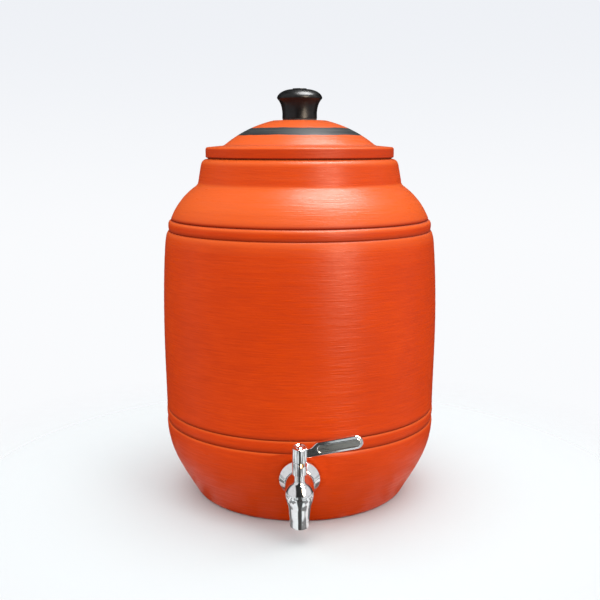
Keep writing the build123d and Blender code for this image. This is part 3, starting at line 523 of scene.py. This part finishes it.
flange_bore, flange_rim, flange_back, flange_inside = 8.65, 17.9, 1.5, 8.0
flange_corners = [(flange_bore, flange_back), (flange_rim, flange_back, 0.3), (flange_rim, 3.9, 0.8)]
flange_corners += [(13.1, 10.2, 0.5), (12.5, 10.5, 0.2), (12.35, 9.5), (12.32, flange_inside)]
flange_outline = eased(flange_corners) + [(flange_bore, flange_inside), (flange_bore, flange_back)]
flange = turned("chrome_flange", flange_outline, place=shank_place)
dress(flange, "jar", "chrome", [chrome], "tap_flange")

# Tap body
# Brass casting, bored, polished and chromed: threaded shank, barrel, round elbow, neck and spout.
valve_centre = seat + outwards * 0.025
valve_place = Matrix.Translation(valve_centre) @ Matrix((sideways, -outwards, upwards)).transposed().to_4x4()

elbow, neck, neck_top, stem_bore, seat_bore = 12.3, 4.6, 24.9, 3.45, 6.75
spout_tip, spout_waist, spout_end, spout_bore = 8.45, 10.1, -31.2, 5.6
spout_outline = eased([(stem_bore, neck_top), (neck, neck_top, 0.2), (neck, 13.2)])
spout_outline += bezier([(neck, 13.2), (neck, 11.4), (6.2, 10.62)], 6)
spout_outline += [(elbow * sin(a), elbow * cos(a)) for a in np.linspace(atan2(6.6, 10.38), pi / 2, 30)]
spout_outline += bezier([(elbow, 0), (elbow, -4.2), (10.95, -7.6), (spout_waist, -10.7)], 16)
spout_outline += bezier([(spout_waist, -10.7), (9.3, -14.4), (8.95, -20.2), (spout_tip, -25.0)], 16)
tip_corners = [(spout_tip, -25.0), (spout_tip, spout_end, 0.8), (spout_bore, spout_end, 0.4)]
spout_outline += eased(tip_corners + [(spout_bore, -11.0)])
spout_outline += [(3.7, -11.0), (3.7, -8.2), (4.95, -8.2), (4.95, -4.7), (seat_bore, 0)]
spout_outline += [(stem_bore, 5.8), (stem_bore, neck_top)]
dress(turned("chrome_spout", spout_outline, place=valve_place), "jar", "chrome", [chrome], "tap_body")

thread_root, thread_top, shank_end = 7.9, 8.4, -26.0
shank_outline = [(seat_bore, shank_end), (thread_root, shank_end)]
for ridge in np.arange(-25.6, -4.0, 1.5):
    shank_outline += [(thread_root, ridge), (thread_top, ridge + 0.5)]
    shank_outline += [(thread_top, ridge + 0.75), (thread_root, ridge + 1.25)]
shank_outline += [(thread_top, -4.0), (thread_top, 9.5), (elbow, 9.5), (elbow, 14), (elbow, 25.0)]
shank_outline += [(seat_bore, 25.0), (seat_bore, shank_end)]
dress(turned("tap_shank", shank_outline, place=shank_place), "jar", "chrome", [chrome])

# Valve
# Chromed brass ball between two white seat rings, held by a brass tube pressed into the shank.
ptfe, tree, shader = finish("white_ptfe", Base_Color=(0.78, 0.78, 0.76, 1), Roughness=0.5)
cloudy = noise(tree, spot(tree), 300, 4, 0.6)
ptfe_tones = [(0.3, (0.70, 0.70, 0.67)), (0.7, (0.84, 0.84, 0.83))]
mottle(tree, shader, cloudy, ptfe_tones, None, 0.1, 0.0001)

coat(chrome, "valve_ball")
coat(ptfe, "ball_seats")
coat(brass, "seat_retainer")

# Bonnet and stem
# Turned sleeve screwed on the neck. Its collar is cut away at the front for the lever's stop, and the
# brass stem shows there.
sleeve, sleeve_foot, sleeve_top, collar_bore, collar_head = 6.2, 19.1, 27.75, 4.8, 31.2
cut_from, cut_to = radians(4), radians(131)
bonnet_corners = [(stem_bore, sleeve_top), (sleeve, sleeve_top), (sleeve, sleeve_foot, 0.4)]
bonnet_corners += [(4.65, sleeve_foot), (4.65, 25.2), (stem_bore, 25.2), (stem_bore, sleeve_top)]
bonnet = turned("chrome_bonnet", eased(bonnet_corners), place=valve_place)
collar_corners = [(collar_bore, 27.8), (collar_bore, collar_head, 0.15), (sleeve, collar_head, 0.4)]
collar_outline = eased(collar_corners + [(sleeve, 27.8), (collar_bore, 27.8)])
collar_angles = np.linspace(cut_to, 2 * pi + cut_from, 100)
collar = turned("bonnet_collar", collar_outline, place=valve_place, angles=collar_angles, wrap=False)
dress(bonnet, "jar", "chrome", [chrome], "bonnet")
dress(collar, "jar", "chrome", [chrome])
coat(brass, "stem")
coat(rubber, "stem_o_ring")

# Lever
# Chromed hub on the stem's square with a flat blade standing on edge. The blade's face has a shallow
# oval panel, satin inside and left bare, with a raised, bright border.
hub_radius, hub_foot, hub_top, dish_radius, dish_floor = 6.3, 31.45, 44.0, 4.7, 43.2
hub_corners = [(0, hub_foot), (hub_radius, hub_foot, 0.25), (hub_radius, hub_top, 0.55)]
hub_corners += [(dish_radius, hub_top, 0.25), (dish_radius, dish_floor), (0, dish_floor)]
hub = turned("lever_hub", eased(hub_corners), place=valve_place)

blade_rise = radians(11.5)
along = sideways * cos(blade_rise) + upwards * sin(blade_rise)
across = outwards.cross(along)
blade_foot = valve_centre + upwards * 0.0333
blade_place = Matrix.Translation(blade_foot) @ Matrix((along, across, outwards)).transposed().to_4x4()
blade_half, blade_edge = 1.5, 0.5
blade_end, end_radius, blade_height, arm_height = 48, 6, 12, 7.7
blade_outline = [(0, 0), (18, 0), (33, 0), (blade_end, 0)]
for a in np.linspace(-pi / 2, pi / 2, 25)[1:]:
    blade_outline.append((blade_end + end_radius * cos(a), end_radius + end_radius * sin(a)))
blade_outline += [(36, blade_height), (24, blade_height), (18, blade_height)]
blade_outline += bezier([(18, blade_height), (14.8, blade_height), (12.8, arm_height), (9.6, arm_height)], 12)
blade_outline += [(5, arm_height), (0, arm_height)]

panel_middle, panel_length, panel_width, panel_depth = (33.85, 5.7), 36.5, 7.8, 0.45


def panel(less, steps=16):
    """Outline of the panel, round at both ends, made smaller by this much."""
    length, width = panel_length - less, panel_width - less
    end = length / 2 - width / 2
    right = [(end + width / 2 * cos(a), width / 2 * sin(a)) for a in np.linspace(-pi / 2, pi / 2, steps)]
    return [(x + panel_middle[0], y + panel_middle[1]) for x, y in right + [(-x, -y) for x, y in right]]


def inset(loop, amount):
    """The loop moved inwards by this amount."""
    points = np.array(loop, float)
    before, after = points - np.roll(points, 1, 0), np.roll(points, -1, 0) - points
    before /= np.linalg.norm(before, axis=1)[:, None]
    after /= np.linalg.norm(after, axis=1)[:, None]
    normal = np.stack((-(before + after)[:, 1], (before + after)[:, 0]), 1)
    normal /= np.linalg.norm(normal, axis=1)[:, None]
    return points + normal * amount


def ring(shape, loop, height):
    """Ring of corners at this height of the blade."""
    return [shape.verts.new((x / 1000, y / 1000, height / 1000)) for x, y in loop]


def join(shape, low, high, number=0):
    """Band of smooth faces between two rings of corners."""
    for step in range(len(low)):
        after = (step + 1) % len(low)
        face = shape.faces.new((low[step], low[after], high[after], high[step]))
        face.material_index, face.smooth = number, True


def edges_round(shape, loop):
    """Edges of one ring of corners."""
    return [shape.edges.get(ends) for ends in zip(loop, loop[1:] + loop[:1])]


def on_blade(shape, name):
    """Object of this shape, moved to the blade's place."""
    bmesh.ops.recalc_face_normals(shape, faces=shape.faces)
    mesh = bpy.data.meshes.new(name)
    shape.to_mesh(mesh)
    shape.free()
    return stand(name, mesh, blade_place)


satin, tree, shader = finish("satin_chrome", Base_Color=(0.55, 0.55, 0.53, 1), Metallic=1, Roughness=0.3)
brush_way = (120, 900, 2600)
grain_place = add(tree, "VectorMath", {0: spot(tree), 1: brush_way}, operation="MULTIPLY").outputs[0]
brushed = noise(tree, grain_place, 1, 4, 0.6)
satin_tones = [(0.3, (0.34, 0.34, 0.33)), (0.7, (0.52, 0.52, 0.50))]
mottle(tree, shader, brushed, satin_tones, (0.3, 0.7, 0.22, 0.42), 0.25, 0.00005)

shape = bmesh.new()
rings = []
for a in np.linspace(0, pi / 2, 6):
    loop = inset(blade_outline, blade_edge * (1 - sin(a)))
    rings.append(ring(shape, loop, -blade_half + blade_edge * (1 - cos(a))))
for a in np.linspace(0, pi / 2, 6):
    loop = inset(blade_outline, blade_edge * (1 - cos(a)))
    rings.append(ring(shape, loop, blade_half - blade_edge * (1 - sin(a))))
for low, high in zip(rings, rings[1:]):
    join(shape, low, high)
shape.faces.new(rings[0])
panel_edge = panel(1.0)
panel_top = ring(shape, panel_edge, blade_half)
panel_low = ring(shape, panel_edge, blade_half - panel_depth + 0.1)
panel_floor = ring(shape, inset(panel_edge, 0.1), blade_half - panel_depth)
join(shape, panel_low, panel_top)
join(shape, panel_floor, panel_low, 1)
shape.faces.new(panel_floor).material_index = 1
face_edges = edges_round(shape, rings[-1]) + edges_round(shape, panel_top)
bmesh.ops.triangle_fill(shape, use_beauty=True, use_dissolve=False, edges=face_edges)
blade = on_blade(shape, "lever_blade")

border_path, border_half, border_rise, border_sink = panel(0.6), 0.32, 0.27, 0.02
shape = bmesh.new()
rings = []
for step in range(10):
    a = 2 * pi * step / 10
    loop = inset(border_path, border_half * cos(a))
    rings.append(ring(shape, loop, blade_half + border_rise * sin(a) - border_sink))
for low, high in zip(rings, rings[1:] + rings[:1]):
    join(shape, low, high)
border = on_blade(shape, "panel_border")

dress(hub, "valve", "satin_chrome", [chrome], "lever")
dress(blade, "valve", "satin_chrome", [chrome, satin])
dress(border, "valve", "satin_chrome", [chrome])

# Screw and cap of the lever
# A socket screw draws the hub on to the stem, under a pressed and chromed cap with a low dome.
cap_radius, cap_edge = 4.6, 43.62
cap_corners = [(cap_radius, dish_floor), (cap_radius, cap_edge, 0.15), (3.5, cap_edge, 0.1)]
cap_corners += [(3.3, 43.4, 0.1), (2.9, 43.4, 0.1), (2.6, 43.7, 0.3)]
cap_outline = [(0, dish_floor)] + eased(cap_corners) + bezier([(2.5, 43.8), (1.6, 44.35), (0, 44.4)], 8)
dress(turned("hub_cap", cap_outline, place=valve_place), "valve", "chrome", [chrome], "lever_cap")
coat(steel, "lever_screw")

# Studio
# Pale floor that fades into a pale room, under a soft sky that is brightest overhead. Mirrors see a painted
# # reflection on the floor, a bright patch round the tap split by a dark strip in front of it, and bright
# cards
# # at both sides, and two long soft lights make the shine on the clay.
tap_distance, bright_reflection_tone, gap_tone, far_tone = (0, 0.15, 0), 0.85, 0.04, 0.06
floor_tone, floor_bounce = (0.63, 0.69, 0.705, 1), (0.50, 0.50, 0.50, 1)
floor_mesh = bpy.data.meshes.new("floor")
floor_mesh.from_pydata([(-6, -6, 0), (6, -6, 0), (6, 6, 0), (-6, 6, 0)], [], [(0, 1, 2, 3)])
floor = stand("floor", floor_mesh, Matrix.Identity(4))

pale, tree, shader = finish("pale_floor", Roughness=0.8, Specular_IOR_Level=0.1)
reach = add(tree, "VectorMath", {0: spot(tree)}, operation="LENGTH").outputs["Value"]
ray = add(tree, "LightPath", {})
from_tap = add(tree, "VectorMath", {0: spot(tree), 1: tap_distance}, operation="ADD").outputs[0]
away = add(tree, "VectorMath", {0: from_tap}, operation="LENGTH").outputs["Value"]
# Painted reflection, seen only by glossy rays: a bright patch within 0.2 m of the tap that darkens past 0.3
# m, cut by a dark strip in front of the tap and broken into patches by noise.
painted_floor_reflection = rescale(tree, away, 0.20, 0.30, bright_reflection_tone, far_tone)
aside = maths(tree, "DIVIDE", add(tree, "SeparateXYZ", {0: from_tap}).outputs[0], away)
aside = maths(tree, "ABSOLUTE", maths(tree, "SUBTRACT", aside, 0.04))
gap_width = rescale(tree, away, 0.05, 0.11, 0.36, 0.13)
beside_gap = rescale(tree, maths(tree, "SUBTRACT", aside, gap_width), 0.0, 0.16, smooth=True)
reflection_patches = rescale(tree, noise(tree, spot(tree), 34, 1), 0.46, 0.54, 0.22, 1.0, smooth=True)
painted_floor_reflection = blend_values(tree, beside_gap, gap_tone, maths(tree, "MULTIPLY", painted_floor_reflection, reflection_patches))
painted_floor_reflection = add(tree, "VectorMath", {0: (0.90, 1.0, 1.01), "Scale": painted_floor_reflection}, operation="SCALE").outputs[0]
tone = blend(tree, ray.outputs["Is Diffuse Ray"], floor_tone, floor_bounce)
tone = blend(tree, ray.outputs["Is Glossy Ray"], tone, painted_floor_reflection)
tree.links.new(tone, shader.inputs["Base Color"])
fade = rescale(tree, reach, 0.13, 0.45, smooth=True)
clear = add(tree, "BsdfTransparent", {})
faded = add(tree, "MixShader", {0: fade, 1: shader.outputs[0], 2: clear.outputs[0]})
tree.links.new(faded.outputs[0], tree.nodes["Material Output"].inputs["Surface"])
floor.data.materials.append(pale)

room = bpy.data.worlds.new("room")
room.use_nodes = True
bpy.context.scene.world = room
tree = room.node_tree
parts = add(tree, "SeparateXYZ", {0: add(tree, "TexCoord", {}).outputs["Generated"]})
to_right, to_back, to_top = parts.outputs
at_sides = rescale(tree, maths(tree, "ABSOLUTE", to_right), 0.40, 0.55, smooth=True)
behind = rescale(tree, to_back, 0.10, 0.45, smooth=True)
side_cards = maths(tree, "MULTIPLY", at_sides, maths(tree, "SUBTRACT", 1.0, behind))
mirrored = blend(tree, side_cards, (0.03, 0.03, 0.03, 1), (0.80, 0.80, 0.81, 1))
sky = rescale(tree, to_top, -0.1, 1.0, 0.64, 1.95)
sky = maths(tree, "MULTIPLY_ADD", to_right, 0.07, sky)
ray = add(tree, "LightPath", {})
walls = blend(tree, ray.outputs["Is Diffuse Ray"], mirrored, sky)
rise = rescale(tree, to_top, -0.12, 0.16, smooth=True)
backdrop = blend(tree, rise, (0.955, 0.965, 0.985, 1), (0.86, 0.88, 0.92, 1))
shown = blend(tree, ray.outputs["Is Camera Ray"], walls, backdrop)
tree.links.new(shown, tree.nodes["Background"].inputs["Color"])
tree.nodes["Background"].inputs["Strength"].default_value = 1.0


def soft_light(name, place, aim, width, tall, power):
    """Rectangular light at this place, facing its aim, that the camera doesn't see."""
    data = bpy.data.lights.new(name, "AREA")
    data.shape, data.size, data.size_y, data.energy = "RECTANGLE", width, tall, power
    light = bpy.data.objects.new(name, data)
    light.location = place
    light.rotation_euler = (Vector(aim) - Vector(place)).to_track_quat("-Z", "Y").to_euler()
    light.visible_camera = False
    bpy.context.scene.collection.objects.link(light)
    return light


soft_light("tall_right", (0.60, -0.70, 1.05), (0, 0, 0.20), 0.45, 1.5, 3)
overhead_shine = soft_light("overhead_shine", (0.36, -0.05, 1.55), (0, 0, 0.25), 1.0, 0.9, 88)
tall_shine = soft_light("tall_shine", (0.68, -1.04, 0.55), (0, 0, 0.15), 0.50, 1.2, 32)
for shine in (overhead_shine, tall_shine):
    shine.visible_diffuse = False
    shine.data.shape = "ELLIPSE"
tall_shine.data.color = (1.0, 0.82, 0.62)

camera_data = bpy.data.cameras.new("camera")
camera_data.sensor_width, camera_data.lens = 36, 53.98
camera = bpy.data.objects.new("camera", camera_data)
camera.location = (0.00033, -0.860, 0.334)
camera.rotation_euler = (radians(80.102), 0, 0)
bpy.context.scene.collection.objects.link(camera)
bpy.context.scene.camera = camera
bpy.context.scene.view_settings.view_transform = "Standard"
